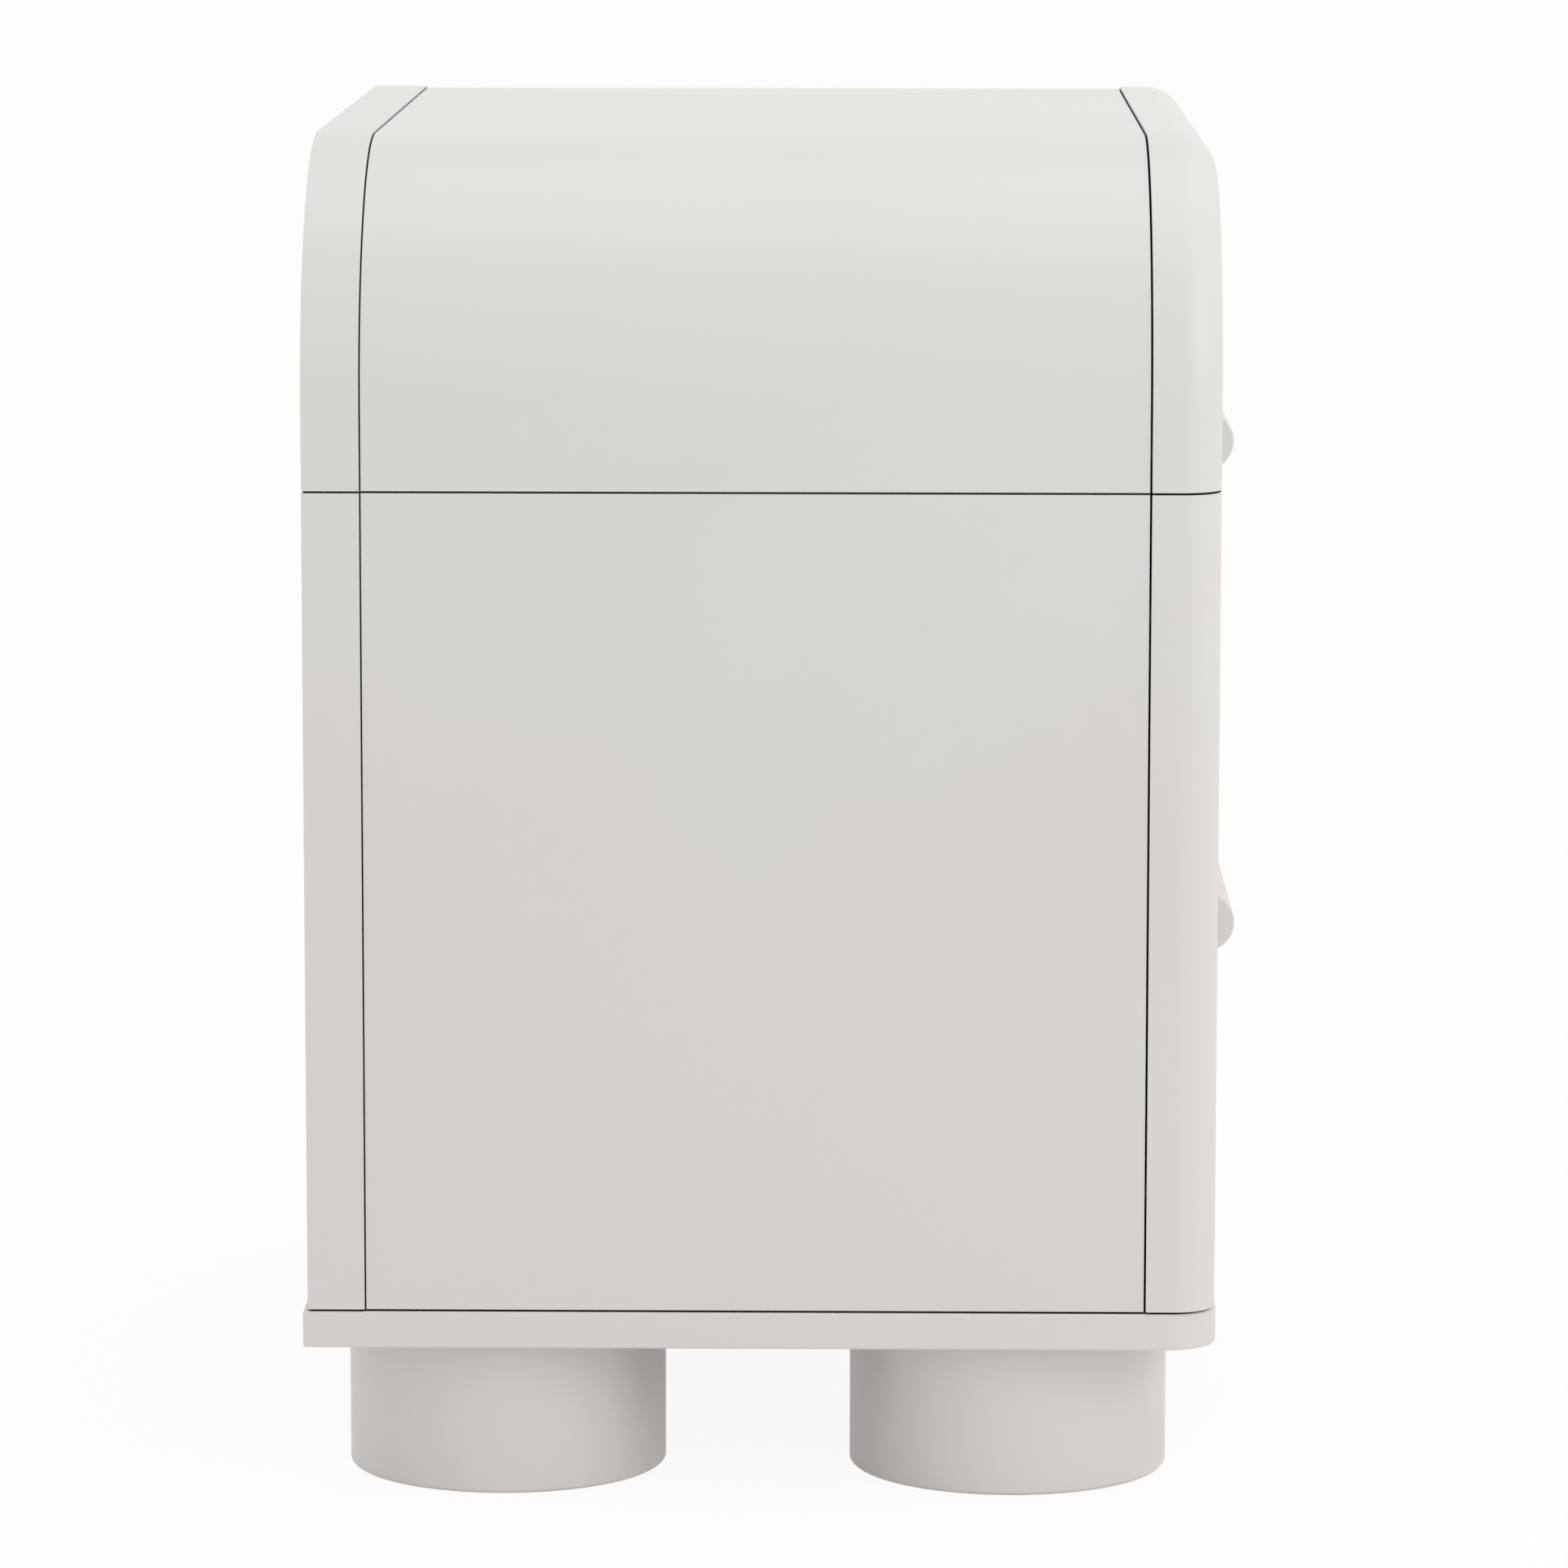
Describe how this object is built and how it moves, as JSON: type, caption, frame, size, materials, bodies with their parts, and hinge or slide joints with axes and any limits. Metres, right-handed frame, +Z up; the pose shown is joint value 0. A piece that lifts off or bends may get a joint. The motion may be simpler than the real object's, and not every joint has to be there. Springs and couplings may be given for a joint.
{
  "type": "two-drawer cabinet",
  "caption": "Painted bedside-size cabinet with a rounded-shoulder upper drawer, a deep lower drawer, horizontal bar pulls and thick drum feet; drawers run on telescopic slides.",
  "frame": {"origin": "on the floor, below the centre of the object's bounding box", "axes": "+Z up, the drawer fronts face -Y, +X to the right when facing the drawers"},
  "size_m": [0.682, 0.4663, 0.68],
  "materials": {
    "lacquered_board": "MDF sprayed with satin warm-white lacquer",
    "lacquered_front": "MDF sprayed with satin warm-white lacquer, rounded edges",
    "lacquered_pull": "hardwood bar sprayed with satin warm-white lacquer",
    "lacquered_foot": "turned drum sprayed with satin warm-white lacquer",
    "inner_board": "MDF with a matt off-white melamine face",
    "back_hardboard": "thin board, painted matt",
    "birch_plywood": "birch, clear lacquer",
    "beech_dowel": "fluted beech, unfinished",
    "wool_felt": "pressed wool felt",
    "zinc_steel": "rolled steel, bright zinc plate",
    "cage_steel": "stamped steel",
    "screw_steel": "zinc-plated steel"
  },
  "bodies": {
    "cabinet": {"base_plate": "lacquered_board", "foot_bolts": "screw_steel", "foot_glides": "wool_felt", "foot_inserts": "screw_steel", "frame_screws": "screw_steel", "front_left_foot": "lacquered_foot", "front_right_foot": "lacquered_foot", "hood_dowels": "beech_dowel", "hood_shell": "lacquered_board", "lower_back_frame": "lacquered_board", "lower_back_panel": "back_hardboard", "lower_left_side": "lacquered_board", "lower_left_slide_outer": "zinc_steel", "lower_right_side": "lacquered_board", "lower_right_slide_outer": "zinc_steel", "panel_screws": "screw_steel", "rear_left_foot": "lacquered_foot", "rear_right_foot": "lacquered_foot", "shelf": "inner_board", "shelf_dowels": "beech_dowel", "side_screws": "screw_steel", "slide_wall_screws": "screw_steel", "upper_back_frame": "lacquered_board", "upper_back_panel": "back_hardboard", "upper_left_slide_outer": "zinc_steel", "upper_right_slide_outer": "zinc_steel"},
    "lower_drawer": {"lower_box_back": "birch_plywood", "lower_box_bottom": "birch_plywood", "lower_box_front": "birch_plywood", "lower_box_left_side": "birch_plywood", "lower_box_right_side": "birch_plywood", "lower_drawer_front": "lacquered_front", "lower_front_screws": "screw_steel", "lower_left_slide_inner": "zinc_steel", "lower_pull": "lacquered_pull", "lower_pull_screws": "screw_steel", "lower_right_slide_inner": "zinc_steel", "lower_slide_screws": "screw_steel"},
    "lower_inner_cage_pair": {"lower_inner_cages": "cage_steel"},
    "lower_slide_middles": {"lower_left_slide_middle": "zinc_steel", "lower_right_slide_middle": "zinc_steel"},
    "lower_outer_cage_pair": {"lower_outer_cages": "cage_steel"},
    "upper_drawer": {"upper_box_back": "birch_plywood", "upper_box_bottom": "birch_plywood", "upper_box_front": "birch_plywood", "upper_box_left_side": "birch_plywood", "upper_box_right_side": "birch_plywood", "upper_drawer_front": "lacquered_front", "upper_front_screws": "screw_steel", "upper_left_slide_inner": "zinc_steel", "upper_pull": "lacquered_pull", "upper_pull_screws": "screw_steel", "upper_right_slide_inner": "zinc_steel", "upper_slide_screws": "screw_steel"},
    "upper_inner_cage_pair": {"upper_inner_cages": "cage_steel"},
    "upper_slide_middles": {"upper_left_slide_middle": "zinc_steel", "upper_right_slide_middle": "zinc_steel"},
    "upper_outer_cage_pair": {"upper_outer_cages": "cage_steel"}
  },
  "joints": [
    {"name": "upper_drawer_slide", "type": "slide", "parent": "cabinet", "child": "upper_drawer", "axis": [0, -1, 0], "range_m": [0, 0.33]},
    {"name": "upper_outer_cage_run", "type": "slide", "parent": "cabinet", "child": "upper_outer_cage_pair", "axis": [0, -1, 0], "range_m": [0, 0.0825]},
    {"name": "upper_slide_middle_run", "type": "slide", "parent": "cabinet", "child": "upper_slide_middles", "axis": [0, -1, 0], "range_m": [0, 0.165]},
    {"name": "upper_inner_cage_run", "type": "slide", "parent": "cabinet", "child": "upper_inner_cage_pair", "axis": [0, -1, 0], "range_m": [0, 0.2475]},
    {"name": "lower_drawer_slide", "type": "slide", "parent": "cabinet", "child": "lower_drawer", "axis": [0, -1, 0], "range_m": [0, 0.33]},
    {"name": "lower_outer_cage_run", "type": "slide", "parent": "cabinet", "child": "lower_outer_cage_pair", "axis": [0, -1, 0], "range_m": [0, 0.0825]},
    {"name": "lower_slide_middle_run", "type": "slide", "parent": "cabinet", "child": "lower_slide_middles", "axis": [0, -1, 0], "range_m": [0, 0.165]},
    {"name": "lower_inner_cage_run", "type": "slide", "parent": "cabinet", "child": "lower_inner_cage_pair", "axis": [0, -1, 0], "range_m": [0, 0.2475]}
  ],
  "couplings": [
    {"joint": "upper_outer_cage_run", "follows": "upper_drawer_slide", "ratio": 0.25},
    {"joint": "upper_slide_middle_run", "follows": "upper_drawer_slide", "ratio": 0.5},
    {"joint": "upper_inner_cage_run", "follows": "upper_drawer_slide", "ratio": 0.75},
    {"joint": "lower_outer_cage_run", "follows": "lower_drawer_slide", "ratio": 0.25},
    {"joint": "lower_slide_middle_run", "follows": "lower_drawer_slide", "ratio": 0.5},
    {"joint": "lower_inner_cage_run", "follows": "lower_drawer_slide", "ratio": 0.75}
  ]
}
